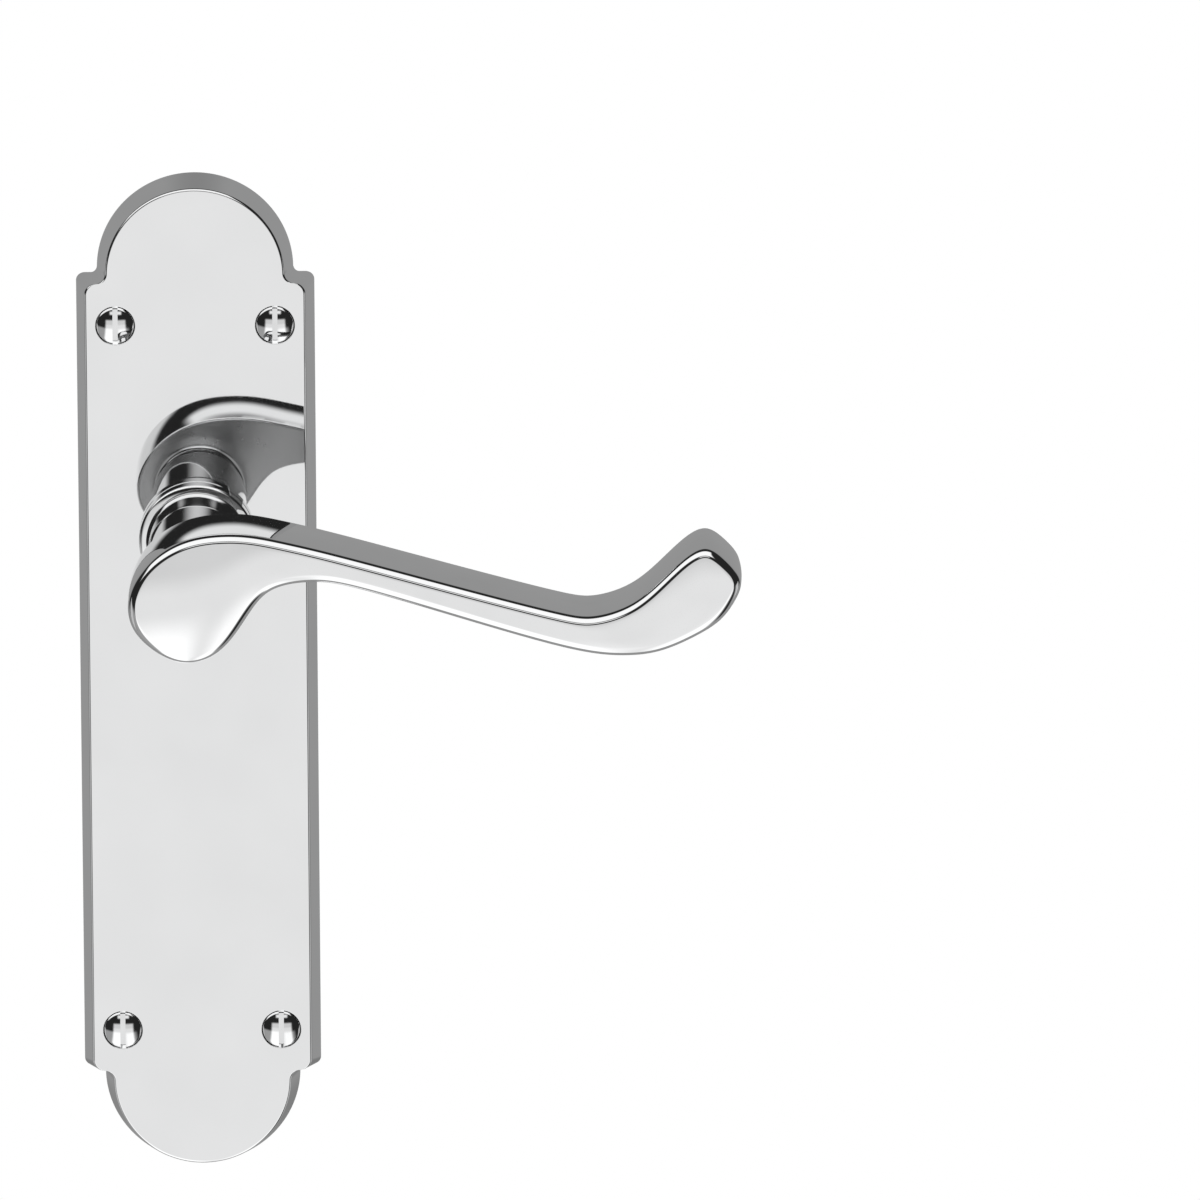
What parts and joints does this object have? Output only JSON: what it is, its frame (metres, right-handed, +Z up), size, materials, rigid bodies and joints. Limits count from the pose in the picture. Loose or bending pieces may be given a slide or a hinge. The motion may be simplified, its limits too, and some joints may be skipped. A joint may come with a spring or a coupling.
{
  "type": "door lever handle",
  "caption": "Scroll lever door handle on an arched backplate, sprung to level, with a square spindle through the door and countersunk wood screws.",
  "frame": {"origin": "on the spindle's axis, in the plane where the backplate's back meets the door", "axes": "+X from the spindle towards the lever's tip, +Y along the spindle into the door, +Z up"},
  "size_m": [0.1153, 0.1245, 0.18],
  "materials": {
    "plate_chrome": "polished",
    "lever_chrome": "polished",
    "screw_chrome": "polished",
    "nylon": "moulded",
    "zinc_plate": "zinc plated",
    "spindle_steel": "drawn, zinc plated",
    "spring_steel": "oiled",
    "hardened_steel": "black oxide"
  },
  "bodies": {
    "backplate_assembly": {"backplate": "plate_chrome", "neck_collar": "plate_chrome", "bearing_bush": "nylon", "neck_washer": "nylon", "thrust_washer": "nylon", "stop_pin": "hardened_steel", "spring_cover": "zinc_plate", "cover_screw_1": "hardened_steel", "cover_screw_2": "hardened_steel", "fixing_screw_1": "screw_chrome", "fixing_screw_2": "screw_chrome", "fixing_screw_3": "screw_chrome", "fixing_screw_4": "screw_chrome", "return_spring": "spring_steel"},
    "lever_assembly": {"lever_handle": "lever_chrome", "spindle": "spindle_steel", "grub_screw": "hardened_steel", "drive_plate": "zinc_plate", "shim_washer": "spring_steel", "circlip": "spring_steel"}
  },
  "joints": [
    {"name": "lever_turn", "type": "hinge", "parent": "backplate_assembly", "child": "lever_assembly", "pos_m": [0, 0, 0], "axis": [0, 1, 0], "range_deg": [0, 40], "stiffness_Nm_per_rad": 0.64, "springref_deg": -31.51, "deforming": ["return_spring"]}
  ]
}
